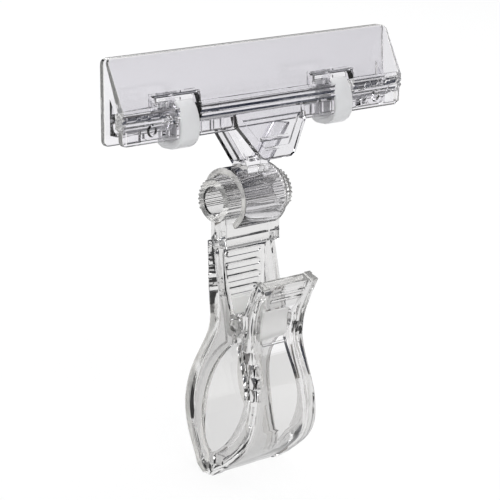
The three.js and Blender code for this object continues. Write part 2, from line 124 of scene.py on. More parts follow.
def tinted(nodes, links, shader, amount, first, second):
    """Mixes two base colours by an amount that another node gives."""
    tint = nodes.new("ShaderNodeMix")
    tint.data_type = "RGBA"
    tint.inputs["A"].default_value = (*first, 1)
    tint.inputs["B"].default_value = (*second, 1)
    links.new(amount, tint.inputs["Factor"])
    links.new(tint.outputs["Result"], shader.inputs["Base Color"])


print("shared by the finishes:", [helper.__name__ for helper in (new_finish, drift, skin, tinted)])

# %% [markdown]
# ## Clear plastic
# The jaws and the plates are clear plastic. A Principled shader with full transmission bends light as
# plastic does, and Layer Weight darkens what is seen edge on: partly because light has further to go
# through the plastic there, and partly as painted shade for the dark outlines that clear edges show. Lamps
# could be traced through the plastic as caustics, which is slow and grainy, so shadow rays simply pass, a
# little dimmed. There are three strengths: the sign's plates, the thicker lower jaws, and a thin pane in
# the moving jaw's back, tinted far less than its thinness alone gives, as painted light that lets the bow
# spring behind it show brighter.

# %% Clear plastic
plastic_bend = 1.49
edge_on_shade = (0.06, 0.06, 0.07)
lamp_light_passed = (0.8, 0.8, 0.8)


def clear_finish(name, tone):
    finish, nodes, links, shader = new_finish(name)
    shader.inputs["Transmission Weight"].default_value = 1
    shader.inputs["IOR"].default_value = plastic_bend
    noise = drift(nodes, links, shader, 240, 0.002, 0.012)
    skin(nodes, links, shader, noise, 0.01)
    # Layer Weight darkens the tint seen edge on: partly longer paths through the plastic, partly painted
    # shade.
    edge = nodes.new("ShaderNodeLayerWeight")
    edge.inputs["Blend"].default_value = 0.5
    edge_shade = nodes.new("ShaderNodeMath")
    edge_shade.operation = "POWER"
    edge_shade.inputs[1].default_value = 2.0
    links.new(edge.outputs["Facing"], edge_shade.inputs[0])
    tinted(nodes, links, shader, edge_shade.outputs["Value"], tone, edge_on_shade)
    lamp_ray = nodes.new("ShaderNodeLightPath")
    passing = nodes.new("ShaderNodeBsdfTransparent")
    passing.inputs["Color"].default_value = (*lamp_light_passed, 1)
    mixed = nodes.new("ShaderNodeMixShader")
    links.new(lamp_ray.outputs["Is Shadow Ray"], mixed.inputs["Fac"])
    links.new(shader.outputs["BSDF"], mixed.inputs[1])
    links.new(passing.outputs["BSDF"], mixed.inputs[2])
    links.new(mixed.outputs["Shader"], nodes["Material Output"].inputs["Surface"])
    return finish


clear = clear_finish("clear_plastic", (0.9, 0.892, 0.915))
thick = clear_finish("clear_plastic_thick", (0.8, 0.795, 0.79))
# The thin pane is tinted far less than the rest: partly its thinness, partly painted light for the bow
# spring behind it.
thin_and_painted_light = clear_finish("clear_plastic_thin_painted_light", (0.985, 0.98, 0.985))
print("clear finishes:", [m.name for m in (clear, thick, thin_and_painted_light)])

# %% [markdown]
# ## Pale edges
# Where clear plastic ends, its edge gathers light and looks pale. A tracer would need many bounces to show
# that, so that light is painted in: the faces there get a finish of their own, with less transmission, more
# roughness and a pale base colour. One is for the rims of the plates, the barrel's ends and the lever's
# top, and a less clear one for the fixed jaw's outer corners and the socket's ends.

# %% Pale edges
def painted_edge_light(name, clearness, light, dark):
    finish, nodes, links, shader = new_finish(name)
    shader.inputs["Transmission Weight"].default_value = clearness
    shader.inputs["IOR"].default_value = plastic_bend
    noise = drift(nodes, links, shader, 400, 0.1, 0.25)
    # The pale base colour paints in the light that the edge gathers; its drift between light and dark is
    # random tone.
    tinted(nodes, links, shader, noise.outputs["Fac"], light, dark)
    return finish


# Both finishes are painted light for clear edges that gather light.
edges = painted_edge_light("clear_painted_light_edge", 0.76, (1.0, 0.99, 0.965), (0.86, 0.85, 0.82))
less_clear_painted_light = painted_edge_light("less_clear_painted_light_edge", 0.6, (1.0, 0.99, 0.965), (0.62, 0.61, 0.58))
print("edge finishes:", [m.name for m in (edges, less_clear_painted_light)])

# %% [markdown]
# ## Nylon
# The springs are cloudy white nylon, where light sinks in a little before it comes back. A plain white
# would look like paint, so the finish has some subsurface scattering. The bow spring is the same nylon seen
# through clear walls that take some of the light, so its colour is painted paler than the rings', as
# painted light.

# %% Nylon
def nylon_finish(name, colour):
    finish, nodes, links, shader = new_finish(name)
    shader.inputs["Subsurface Weight"].default_value = 0.2
    shader.inputs["Subsurface Radius"].default_value = (0.0018, 0.0018, 0.0018)
    shader.inputs["IOR"].default_value = 1.5
    noise = drift(nodes, links, shader, 500, 0.24, 0.36)
    tinted(nodes, links, shader, noise.outputs["Fac"], colour, [c * 0.93 for c in colour])
    skin(nodes, links, shader, noise, 0.08)
    return finish


white = nylon_finish("white_nylon", (0.57, 0.57, 0.575))
painted_paler_nylon = nylon_finish("nylon_painted_paler", (0.76, 0.76, 0.745))
print("nylon finishes:", [m.name for m in (white, painted_paler_nylon)])

# %% [markdown]
# ## Lines in a side view
# Both lower jaws are long flowing curves. They could be typed in point by point. A Bezier piece needs only
# its end point and, at each end, a lean and a reach, which is how such a line is drawn by hand. Round
# corners are arcs, and a third helper reads a line back: how far out it is at a height.

# %% Lines in a side view
def flow(path, end, start_reach, start_lean, end_reach, end_lean, steps=14):
    """Carries a path on in a curve. Leans are degrees off straight down."""
    start = Vector((*path[-1], 0))
    stop = Vector((*end, 0))
    leave, arrive = math.radians(start_lean), math.radians(end_lean)
    first = start + Vector((math.sin(leave), -math.cos(leave), 0)) * start_reach
    second = stop - Vector((math.sin(arrive), -math.cos(arrive), 0)) * end_reach
    path.extend((p.x, p.y) for p in interpolate_bezier(start, first, second, stop, steps)[1:])


def depth_at(path, height):
    """How far out a falling path is at a height."""
    for (y0, z0), (y1, z1) in zip(path, path[1:]):
        if z1 <= height <= z0 and z0 > z1:
            return y0 + (y1 - y0) * (z0 - height) / (z0 - z1)
    return path[0][0] if height > path[0][1] else path[-1][0]


def arc(cy, cz, radius, start, stop, steps=16):
    """Points on an arc, in degrees from +Y towards +Z."""
    turns = [math.radians(start + (stop - start) * i / steps) for i in range(steps + 1)]
    return [(cy + math.cos(t) * radius, cz + math.sin(t) * radius) for t in turns]


print("middle of a quarter arc of radius 2:", [round(v, 2) for v in arc(0, 0, 2, 0, 90, 2)[1]])

# %% [markdown]
# ## The lower clip's channel section
# Both lower jaws are channels: a curved back wall with a flange down each side, open towards the other jaw.
# A channel could be three plates stuck together, but one loft is cleaner. Half a section is drawn, mirrored
# and extruded from station to station; each station says where the back and the rim lie, how thick the back
# wall is and how deep it is panelled. Outer and inner corners are rounded, as a mould needs them to be, and
# a shallow groove runs down each flange and ends in a step beside the rim.

# %% Channel section
waist = [(8.2, 60.8), (8.2, 44.0)]
flow(waist, (7.5, 31.0), 13 / 3, 0, 13 / 3, 0)
flow(waist, (10.4, 0.9), 31 / 3, 0, 31 / 3, 0)
waist.append((10.4, -1.0))
full_span = 5
outer_round, inner_round = 0.7, 1.1
panel_foot, panel_side = 2.9, 2.6
groove_start, groove_depth = 2.0, 0.32
rim_width = 1.45


def half_section(back, rim, wall, panel, flange, step):
    """Half a section: from the back's panel round the corner, over flange and rim, to the inside."""
    span, inward = (rim - back).length, (rim - back).normalized()
    scale = min(1.0, span / full_span)

    def spot(inset, depth):
        place = back + inward * depth
        return (depth_at(waist, place.y) - inset, *place)

    bend = outer_round * scale
    half = [spot(panel_foot, panel), spot(panel_side, 0)]
    half += [spot(bend, 0), spot(bend * 0.3, bend * 0.3), spot(0, bend)]
    half += [spot(0.1, groove_start * scale), spot(groove_depth, span - (rim_width + step) * scale)]
    half += [spot(0, span - rim_width * scale), spot(0, span), spot(flange, span)]
    room = min(inner_round, (span - wall) * 0.8)
    for t in (0.0, math.pi / 6, math.pi / 3, math.pi / 2):
        half.append(spot(flange + room * (1 - math.cos(t)), wall + room * (1 - math.sin(t))))
    return half


def channel(stations, flange, step):
    """Lofts a channel through stations of back point, rim point, wall thickness and panel depth."""
    bm = bmesh.new()
    corner = bm.verts.layers.int.new("corner")
    loop = []
    for back, rim, wall, panel in stations:
        half = half_section(Vector(back), Vector(rim), wall, panel, flange, step)
        spots = [(-x, y, z) for x, y, z in half] + half[::-1]
        if not loop:
            verts = [bm.verts.new(spot) for spot in spots]
            for number, vert in enumerate(verts):
                vert[corner] = number
            loop = bm.faces.new(verts).edges[:]
            continue
        grown = bmesh.ops.extrude_edge_only(bm, edges=loop)["geom"]
        fresh = {g for g in grown if isinstance(g, bmesh.types.BMVert)}
        for vert in fresh:
            vert.co = spots[vert[corner]]
        loop = [g for g in grown if isinstance(g, bmesh.types.BMEdge) and fresh.issuperset(g.verts)]
    bmesh.ops.holes_fill(bm, edges=loop, sides=0)
    bmesh.ops.recalc_face_normals(bm, faces=bm.faces)
    return bm


print("waist half-widths:", [round(depth_at(waist, z), 2) for z in (50, 31, 15, 0)])

# %% [markdown]
# ## Rolled edges
# No moulded edge is sharp. The small radius could be drawn into every outline, but bevelling the hard edges
# afterwards is quicker and goes round corners by itself. Light catches on the rolled edge, and without it
# clear plastic shows no outline. A brick shows it at its simplest.

# %% Rolled edges
def rolled(bm, width, segments=2, angle=35):
    """Rolls over the edges that turn by more than an angle in degrees."""
    hard = [e for e in bm.edges if e.is_manifold and e.calc_face_angle(0) > math.radians(angle)]
    bmesh.ops.bevel(bm, geom=hard, offset=width, segments=segments, profile=0.5,
                    affect="EDGES", clamp_overlap=True, material=-1)
    return bm


def brick(x0, x1, y0, y1, z0, z1, edge=0.2):
    """A block between two corners, with its edges rolled unless edge is 0."""
    bm = bmesh.new()
    bmesh.ops.create_cube(bm, size=1)
    bmesh.ops.scale(bm, vec=(x1 - x0, y1 - y0, z1 - z0), verts=bm.verts)
    bmesh.ops.translate(bm, vec=((x0 + x1) / 2, (y0 + y1) / 2, (z0 + z1) / 2), verts=bm.verts)
    return rolled(bm, edge) if edge else bm


sample = brick(0, 1, 0, 1, 0, 1)
print("a brick with rolled edges has", len(sample.faces), "faces")
sample.free()

# %% [markdown]
# ## The fixed lower jaw: its channel
# Its back runs straight down from the barrel, swells into a bulb and comes in to a lip; its rim slants out
# to the hinge ears and then follows the loop that closes round a rim or rail. Back and rim are drawn as two
# lines, because the depth between them changes all the way down. The channel is filled at the top, for the
# shelf under the barrel, and at the lip.

# %% Fixed lower jaw: its channel
base_back = [(2.4, 51.6), (2.4, 35.4)]
flow(base_back, (9.3, 16.0), 6.1, 0, 9.1, 0)
flow(base_back, (3.7, 1.5), 5.3, 0, 5.0, -22)
base_back.append((1.6, 0.0))
base_rim = [(-1.1, 51.6), (-4.4, 36.6), (-5.0, 30.0)]
flow(base_rim, (3.2, 14.0), 4.2, 58, 9.1, 0)
flow(base_rim, (0.5, 5.0), 5.0, 0, 2.5, -60)
base_rim += [(0.5, 2.6), (0.15, 0.6), (0.15, 0.0)]
base_wall, base_flange, base_step = 1.8, 1.4, 1.1
shelf_height = 50.0
lip_height = 1.6
lip_stations = [5.0, 4.4, 3.5, 2.6, 2.2, 1.6, 1.1, 0.6, 0.0]
filled_rim, fill_fade = 0.3, 1.2


def wall_here(height, plain, filled_from, span):
    """Back wall thickness: plain in the middle, filled up to a shallow rim at the lip and at the top."""
    if height <= lip_height or height >= filled_from:
        return span - filled_rim
    near = min(height - lip_height, filled_from - height)
    blend = max(0.0, 1 - near / fill_fade)
    return plain + (span - filled_rim - plain) * blend * blend


def base_stations():
    heights = [51.6, 51.0, 50.0, 49.4, 48.8, 46.0, 42.0, 39.0, 36.6, 35.4, 33.5, 31.5, 30.0]
    heights += [30.0 - 0.9 * i for i in range(1, 28)] + lip_stations
    for z in sorted(set(heights), reverse=True):
        back, rim = (depth_at(base_back, z), z), (depth_at(base_rim, z), z)
        yield back, rim, wall_here(z, base_wall, shelf_height, abs(back[0] - rim[0])), 0.0


base_body = rolled(channel(base_stations(), base_flange, base_step), 0.28, 3, 50)
print("fixed jaw channel:", len(base_body.faces), "faces")

# %% [markdown]
# ## Barrel and stem
# The barrel is a tube with fine teeth that the socket clicks over. Each tooth could be a brick fused on,
# but a circle with four corners to a tooth gives them all at once, by moving every other pair of corners
# inwards. The lower third stays plain, where it runs into the stem. The stem block is panelled: an inset
# pushed in on its front and back.

# %% Barrel and stem
axis_y, axis_z = -1.0, 60.8
barrel_length, bore_radius = 18.6, 2.9
tooth_tip, tooth_root = 4.85, 4.5
barrel_corners, plain_below = 120, -2.4
stem_half_width, stem_half_depth = 7.9, 2.4
stem_foot, stem_top = 50.4, 57.6
stem_border, stem_panel = 1.3, 0.7


def barrel_body():
    bm = bmesh.new()
    outside = bmesh.ops.create_circle(bm, segments=barrel_corners, radius=tooth_tip)["verts"]
    for number, vert in enumerate(outside):
        plain = vert.co.y < plain_below
        if number % 4 in (0, 3) or plain:
            vert.co *= tooth_root / tooth_tip
    bmesh.ops.create_circle(bm, segments=barrel_corners, radius=bore_radius)
    rim = bmesh.ops.bridge_loops(bm, edges=bm.edges[:])["faces"]
    grown = bmesh.ops.extrude_face_region(bm, geom=rim)["geom"]
    far_end = [g for g in grown if isinstance(g, bmesh.types.BMVert)]
    bmesh.ops.translate(bm, vec=(0, 0, barrel_length), verts=far_end)
    bmesh.ops.translate(bm, vec=(0, 0, -barrel_length / 2), verts=bm.verts)
    bmesh.ops.rotate(bm, matrix=Matrix(((0, 0, 1), (1, 0, 0), (0, 1, 0))), verts=bm.verts)
    bmesh.ops.translate(bm, vec=(0, axis_y, axis_z), verts=bm.verts)
    bmesh.ops.recalc_face_normals(bm, faces=bm.faces)
    return bm


def stem_body():
    front, back = axis_y - stem_half_depth, axis_y + stem_half_depth
    bm = brick(-stem_half_width, stem_half_width, front, back, stem_foot, stem_top, 0)
    for way in (-1, 1):
        panel = max(bm.faces, key=lambda f: f.calc_center_median().y * way)
        bmesh.ops.inset_region(bm, faces=[panel], thickness=stem_border, depth=-stem_panel)
    return rolled(bm, 0.18)


barrel = barrel_body()
stem = stem_body()
print("barrel:", len(barrel.faces), "faces; stem:", len(stem.faces), "faces")

# %% [markdown]
# ## Outlines, bars and twins
# The rest of the mouldings are mostly flat shapes with one thickness, round bars along the hinge, and
# pairs. A flat shape is drawn as a face and extruded, a bar is a cone with two equal ends, and the second
# of a pair is a mirrored copy, so both sides stay alike.

# %% Outlines, bars and twins
def plate_outline(half, bottom, top, corner, steps=5):
    """The outline of a plate with rounded corners, as across and height."""
    outline = []
    for cx, cz, start in ((half - corner, bottom + corner, -90), (half - corner, top - corner, 0),
                          (corner - half, top - corner, 90), (corner - half, bottom + corner, 180)):
        outline += arc(cx, cz, corner, start, start + 90, steps)
    return outline


def pulled(outline, start, stop, axis):
    """A flat outline pulled straight along X (drawn as depth, height) or Y (drawn as across, height)."""
    bm = bmesh.new()
    lift = (lambda a, b: (start, a, b)) if axis == "X" else (lambda a, b: (a, start, b))
    face = bm.faces.new([bm.verts.new(lift(a, b)) for a, b in outline])
    grown = bmesh.ops.extrude_face_region(bm, geom=[face])["geom"]
    way = (stop - start, 0, 0) if axis == "X" else (0, stop - start, 0)
    bmesh.ops.translate(bm, vec=way, verts=[g for g in grown if isinstance(g, bmesh.types.BMVert)])
    bmesh.ops.recalc_face_normals(bm, faces=bm.faces)
    return bm


def bar(y, z, radius, x0, x1, edge=0.0, sides=28):
    """A round bar along X."""
    bm = bmesh.new()
    bmesh.ops.create_cone(bm, cap_ends=True, segments=sides, radius1=radius, radius2=radius, depth=x1 - x0)
    bmesh.ops.rotate(bm, matrix=Matrix.Rotation(math.pi / 2, 3, "Y"), verts=bm.verts)
    bmesh.ops.translate(bm, vec=((x0 + x1) / 2, y, z), verts=bm.verts)
    return rolled(bm, edge, 3) if edge else bm


def both_sides(bm):
    """Adds the mirror image across X = 0."""
    twin = bmesh.ops.duplicate(bm, geom=bm.verts[:] + bm.edges[:] + bm.faces[:])["geom"]
    verts = [g for g in twin if isinstance(g, bmesh.types.BMVert)]
    bmesh.ops.scale(bm, vec=(-1, 1, 1), verts=verts)
    bmesh.ops.reverse_faces(bm, faces=[g for g in twin if isinstance(g, bmesh.types.BMFace)])
    return bm


print("corners in a plate's outline:", len(plate_outline(5, 0, 3, 1)))

# %% [markdown]
# ## Fusing
# What is one moulding has to be one closed skin. Bodies could just be pushed into each other, but inside
# clear plastic the second skin would show, so they are joined and cut with exact Booleans. A finished body
# is turned from millimetres into metres, gets its finish, and is handed to the frame.

# %% Fusing
def as_object(bm, name):
    mesh = bpy.data.meshes.new(name)
    bm.to_mesh(mesh)
    bm.free()
    thing = bpy.data.objects.new(name, mesh)
    bpy.context.scene.collection.objects.link(thing)
    return thing


def as_bmesh(thing):
    bm = bmesh.new()
    bm.from_mesh(thing.data)
    bpy.data.objects.remove(thing)
    return bm


def combine(target, body, operation):
    """One Boolean step on an object."""
    tool = as_object(body, "tool")
    step = target.modifiers.new(operation, "BOOLEAN")
    step.operation = operation
    step.object = tool
    step.solver = "EXACT"
    graph = bpy.context.evaluated_depsgraph_get()
    shape = bpy.data.meshes.new_from_object(target.evaluated_get(graph))
    target.modifiers.clear()
    target.data = shape
    bpy.data.objects.remove(tool)


def fused(main, added=(), cut=()):
    """Joins bodies to a main one and cuts others from it, as one closed body."""
    target = as_object(main, "work")
    for body in added:
        combine(target, body, "UNION")
    for body in cut:
        combine(target, body, "DIFFERENCE")
    bm = as_bmesh(target)
    bmesh.ops.remove_doubles(bm, verts=bm.verts, dist=0.002)
    bmesh.ops.holes_fill(bm, edges=[e for e in bm.edges if e.is_boundary], sides=0)
    return bm


def clipped(main, keep):
    """What two bodies share."""
    target = as_object(main, "work")
    combine(target, keep, "INTERSECT")
    return as_bmesh(target)


def finish_number(spot, marked):
    """0 for a piece's own finish, or the number of the first mark that fits the spot."""
    for number, (_, fits) in enumerate(marked, 1):
        if fits(spot):
            return number
    return 0


def finished(bm, name, finish, body, node, smooth, marked=()):
    """Hands a piece to the frame, in metres. Marks pair a finish with a test for its faces."""
    for face in bm.faces:
        face.material_index = finish_number(face.calc_center_median(), marked)
    bmesh.ops.scale(bm, vec=(0.001, 0.001, 0.001), verts=bm.verts)
    piece = as_object(bm, name)
    for one in (finish, *[other for other, _ in marked]):
        piece.data.materials.append(one)
    piece.data.polygons.foreach_set("use_smooth", [True] * len(piece.data.polygons))
    piece.data.set_sharp_from_angle(angle=math.radians(smooth))
    if body:
        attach(piece, body)
    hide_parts(node)
    size = " x ".join(f"{v * 1000:.1f}" for v in piece.dimensions)
    print(name, len(piece.data.polygons), "faces,", size, "mm")
    return piece


crossed = clipped(brick(0, 2, 0, 2, 0, 2, 0), brick(1, 3, 1, 3, 1, 3, 0))
print("two crossed cubes share", round(crossed.calc_volume(), 2), "of volume")
crossed.free()

# %% [markdown]
# ## The fixed lower jaw: fused
# Hinge ears, pill-shaped grip ribs, the stem block and the barrel are all part of the channel's moulding,
# so they are fused on, and the hinge eyes and the barrel's cone mouths are cut. The ribs could be plain
# bricks, but their wide chamfers are what shows as pale and dark lines. Where the jaw's edges look pale
# they are marked, and the light that they gather is painted in there.

# %% Fixed lower jaw: fused
hinge_y, hinge_z = -5.6, 34.2
ear_radius, eye_radius = 2.4, 1.4
ear_inner, ear_outer = 5.9, 7.7
rib_half_width, rib_half_height, rib_round = 5.1, 0.72, 0.7
rib_front, rib_back, rib_chamfer = -0.6, 1.2, 0.55
rib_heights = [39.9 + 2.833 * i for i in range(4)]
flare_inside, flare_outside, flare_depth = 2.7, 3.7, 1.0
clear_smooth = 14


def grip_rib(z):
    """A chamfered pill across the inside of the back wall."""
    outline = plate_outline(rib_half_width, z - rib_half_height, z + rib_half_height, rib_round)
    return rolled(pulled(outline, rib_front, rib_back, "Y"), rib_chamfer, 1, 50)


def barrel_mouths():
    """Cones that widen both ends of the bore."""
    bm = bmesh.new()
    bmesh.ops.create_cone(bm, cap_ends=True, segments=60, radius1=flare_inside, radius2=flare_outside,
                          depth=flare_depth)
    bmesh.ops.rotate(bm, matrix=Matrix.Rotation(math.pi / 2, 3, "Y"), verts=bm.verts)
    bmesh.ops.translate(bm, vec=(barrel_length / 2, axis_y, axis_z), verts=bm.verts)
    return both_sides(bm)


def on_outer_corner(spot):
    """Tells a face on the jaw's outer corners, below its neck."""
    near_back = abs(spot.y - depth_at(base_back, spot.z)) < 1.7
    near_side = abs(spot.x) > depth_at(waist, spot.z) - 2.0
    return spot.z < 36 and near_back and near_side


def on_barrel_end(spot):
    return abs(spot.x) > barrel_length / 2 - 0.05 and spot.z > 55


ears = both_sides(bar(hinge_y, hinge_z, ear_radius, ear_inner, ear_outer, 0.25))
ribs = [grip_rib(z) for z in rib_heights]
eye = bar(hinge_y, hinge_z, eye_radius, -9, 9)
base_jaw = fused(base_body, [ears, *ribs, stem, barrel], [eye, barrel_mouths()])
# Painted light: the outer corners and the barrel's ends get the pale edge finishes.
base_marks = [(less_clear_painted_light, on_outer_corner), (edges, on_barrel_end)]
finished(base_jaw, "fixed_jaw", thick, "base", "base_jaw", clear_smooth, base_marks)

# %% [markdown]
# ## The moving lower jaw: its channel
# It is the same kind of channel, turned round: the back faces the user, flares into a thumb lever at the
# top and sweeps round the bulb to the lip. Its rim curves round the fixed jaw's ears. The same loft makes
# it, with stations that lean over towards the lever's top, and with the back panelled below the thumb ribs
# and again above them.

# %% Moving lower jaw: its channel
lean = math.radians(27)
tip_y, tip_z, tip_width = -15.3, 43.5, 3.1
lever_wall, lever_flange, lever_step = 2.0, 1.9, 0.3
lever_filled_from = 42.2
upright_below, leaning_above = 30, 36
pane_depth, pane_top, pane_fade = 0.5, 39.0, 1.8
tip_pane, tip_fade = 42.6, 0.6
lever_back = [(tip_y, tip_z)]
flow(lever_back, (-11.4, 32.0), 3.83, 27, 3.83, 0)
flow(lever_back, (-14.1, 17.0), 5, 0, 5, 0)
flow(lever_back, (-4.0, 1.5), 8.5, 0, 8.5, 54)
lever_back.append((-1.6, 0.0))
lever_rim = [(tip_y + math.cos(lean) * tip_width, tip_z + math.sin(lean) * tip_width)]
lever_rim += [(-8.5, 36.6), (-8.5, 34.0), (-7.6, 32.1), (-6.2, 30.0)]
flow(lever_rim, (-9.8, 18.0), 4.2, -14, 4.2, 0)
flow(lever_rim, (-0.5, 5.0), 5, 0, 5, 75)
lever_rim += [(-0.5, 2.6), (-0.15, 0.6), (-0.15, 0.0)]


def lever_stations():
    heights = [tip_z, 43.0, 42.2, 41.4, 40.6, 39.0] + [38.4 - 0.9 * i for i in range(38)] + lip_stations
    rim_top = lever_rim[0][1]
    for z in sorted(set(heights), reverse=True):
        if z > leaning_above:
            rim_z = z * rim_top / tip_z
        else:
            turned = max(0.0, (z - upright_below) / (leaning_above - upright_below))
            rim_z = z + (rim_top - tip_z) * turned * leaning_above / tip_z
        back, rim = (depth_at(lever_back, z), z), (depth_at(lever_rim, rim_z), rim_z)
        panel = pane_depth * min(1.0, max(0.0, (pane_top - z) / pane_fade, (z - tip_pane) / tip_fade))
        yield back, rim, wall_here(z, lever_wall, lever_filled_from, math.dist(back, rim)), panel


lever_body = rolled(channel(lever_stations(), lever_flange, lever_step), 0.3, 3, 50)
print("moving jaw channel:", len(lever_body.faces), "faces")

# %% [markdown]
# ## The moving lower jaw: cut and fused
# Two inner arms carry stub pins that sit in the fixed jaw's eyes, two rounded ribs stop the thumb from
# slipping, and a ledge holds the bow spring's foot. Slits and slots at the lever's top, and a row of
# stepped cuts down one flange, are hollows that the mould leaves. They could be painted as dark lines, but
# only a real facet bends the surroundings into view as the holder turns.

# %% Moving lower jaw: cut and fused
arm_inner, arm_outer = 4.4, 5.8
pin_radius = 1.1
thumb_rib_radius, thumb_rib_half = 0.55, 4.8
cut_inset, cut_clear, cut_rise = 1.1, 0.3, 2.42


def leaning(bm, y, z):
    """Turns a piece drawn at the origin to the lever's lean and carries it to a point of the side view."""
    bmesh.ops.rotate(bm, matrix=Matrix.Rotation(lean, 3, "X"), verts=bm.verts)
    bmesh.ops.translate(bm, vec=(0, y, z), verts=bm.verts)
    return bm


def stepped_cut(z, reach):
    """A wedge cut from the inner face of one flange, as deep from its rim as the reach."""
    inner = lever_flange - depth_at(waist, z)
    tooth = [(inner - cut_inset, z), (inner + cut_clear, z), (inner + cut_clear, z + cut_rise)]
    rim_y = depth_at(lever_rim, z)
    return pulled(tooth, rim_y - reach, rim_y + 2.0, "Y")


def on_lever_top(spot):
    return (spot.z - tip_z) * math.cos(lean) - (spot.y - tip_y) * math.sin(lean) > -0.25


# The back pane's lighter tint is partly painted light, so that the bow spring behind it shows brighter.
def on_back_pane(spot):
    return abs(spot.x) < 5 and 28 < spot.z < 38.7 and spot.y < -8.9


arm_end = bar(hinge_y, hinge_z, ear_radius, arm_inner, arm_outer, 0.2)
arm = fused(arm_end, [brick(arm_inner, arm_outer, -9.0, hinge_y, 32.6, 35.8)])
pins = both_sides(bar(hinge_y, hinge_z, pin_radius, 4.6, 7.2, 0.2))
thumb_ribs = []
for z in (41.9, 40.4):
    rib_y = depth_at(lever_back, z) + 0.3
    thumb_ribs.append(bar(rib_y, z, thumb_rib_radius, -thumb_rib_half, thumb_rib_half, 0.3))
ledge = brick(-3.6, 3.6, -10.4, -9.0, 29.4, 29.9, 0.12)
cuts = [both_sides(leaning(brick(6.0, 6.3, -3, 3, -0.4, 0.4, 0), -13.92, 44.2)),
        both_sides(leaning(brick(7.5, 9.0, -0.45, 0.45, -1.7, 1.7, 0.15), -12.9, 39.85))]
cuts += [stepped_cut(2.6, 3.4), stepped_cut(4.9, 4.6)]
cuts += [stepped_cut(z, 2.2) for z in (18.4, 21.0, 23.6, 26.2, 28.8)]
lever_jaw = fused(fused(lever_body, cut=cuts), [both_sides(arm), pins, *thumb_ribs, ledge])
# Painted light: the lever's top gets the pale edge finish.
lever_marks = [(edges, on_lever_top), (thin_and_painted_light, on_back_pane)]
finished(lever_jaw, "moving_jaw", thick, "lever", "lever_jaw", clear_smooth, lever_marks)

# %% [markdown]
# ## The bow spring
# A cloudy white strip bent into a U between the jaws. It could be swept along a curve; here its outer line
# is drawn, pulled across and given its thickness with solidify, which keeps the thickness even round the
# bends. Then the edges are rolled. It crosses the hinge.

# %% Bow spring
def strip(path, x0, x1, thickness, edge):
    """A bent strip: a line pulled along X and thickened on its inner side."""
    bm = bmesh.new()
    verts = [bm.verts.new((x0, y, z)) for y, z in path]
    line = [bm.edges.new(pair) for pair in zip(verts, verts[1:])]
    grown = bmesh.ops.extrude_edge_only(bm, edges=line)["geom"]
    far_side = [g for g in grown if isinstance(g, bmesh.types.BMVert)]
    bmesh.ops.translate(bm, vec=(x1 - x0, 0, 0), verts=far_side)
    bmesh.ops.recalc_face_normals(bm, faces=bm.faces)
    if min(bm.faces, key=lambda f: f.calc_center_median().z).normal.z > 0:
        bmesh.ops.reverse_faces(bm, faces=bm.faces)
    bmesh.ops.solidify(bm, geom=bm.faces[:], thickness=thickness)
    bmesh.ops.recalc_face_normals(bm, faces=bm.faces)
    return rolled(bm, edge, 3, 50)


bow_back, bow_front = 0.3, -9.1
bow_corner, bow_foot = 2.2, 30.2
bow_half_width, bow_thickness = 4.2, 1.4
bow = [(bow_back, 38.8)]
bow += arc(bow_back - bow_corner, bow_foot + bow_corner, bow_corner, 0, -90, 8)
bow += arc(bow_front + bow_corner, bow_foot + bow_corner, bow_corner, -90, -180, 8)
bow += [(bow_front, 34.2), (bow_front - 0.37, 36.5), (bow_front - 0.9, 37.8)]
base_spring = strip(bow, -bow_half_width, bow_half_width, bow_thickness, 0.3)
# The bow spring's paler nylon is painted light, making up for what the clear walls take.
spring = finished(base_spring, "bow_spring", painted_paler_nylon, None, "base_spring", 50)
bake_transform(spring)

# %% [markdown]
# ## The upright sign plate: socket and funnel
# Under the sign sits a C-shaped socket that grips the barrel, and a funnel that joins the two. The socket
# is a small section spun round the barrel's axis, which is how a lathe would see it. The funnel is a
# narrowing block with a panel let into each slanted side and a pocket from the front and from the back, so
# that only a web is left between its walls. From here on, the sign's pieces are drawn about the barrel's
# axis.

# %% Upright sign plate: socket and funnel
socket_half, mouth_half = 6.2, 6.0
socket_inside, mouth_radius, socket_outside = 5.15, 5.6, 6.75
socket_start, socket_sweep = -116, 229
web_front, web_back = -1.6, -0.7


def socket_body():
    """The socket, chamfered where it meets the barrel at both ends."""
    bm = bmesh.new()
    start = math.radians(socket_start)
    corners = [(-mouth_half, socket_inside), (mouth_half, socket_inside), (socket_half, mouth_radius),
               (socket_half, socket_outside), (-socket_half, socket_outside), (-socket_half, mouth_radius)]
    face = bm.faces.new([bm.verts.new((x, math.cos(start) * r, math.sin(start) * r)) for x, r in corners])
    bmesh.ops.spin(bm, geom=[face, *face.edges, *face.verts], cent=(0, 0, 0), axis=(1, 0, 0),
                   angle=-math.radians(socket_sweep), steps=48, use_merge=False)
    bmesh.ops.remove_doubles(bm, verts=bm.verts, dist=0.001)
    bmesh.ops.holes_fill(bm, edges=[e for e in bm.edges if e.is_boundary], sides=0)
    bmesh.ops.recalc_face_normals(bm, faces=bm.faces)
    return rolled(bm, 0.22, 3, 50)


def funnel_body():
    """A block that narrows to the socket, with a panel let into each slanted side."""
    outline = [(-9.0, 15.6), (-3.0, 7.0), (-3.0, 4.4), (3.0, 4.4), (3.0, 7.0), (9.0, 15.6)]
    bm = pulled(outline, -4.0, 1.0, "Y")
    for way in (-1, 1):
        side = max(bm.faces, key=lambda f: f.normal.dot(Vector((0.82 * way, 0, -0.57))))
        bmesh.ops.inset_region(bm, faces=[side], thickness=1.0, depth=-0.45)
    return rolled(bm, 0.15)


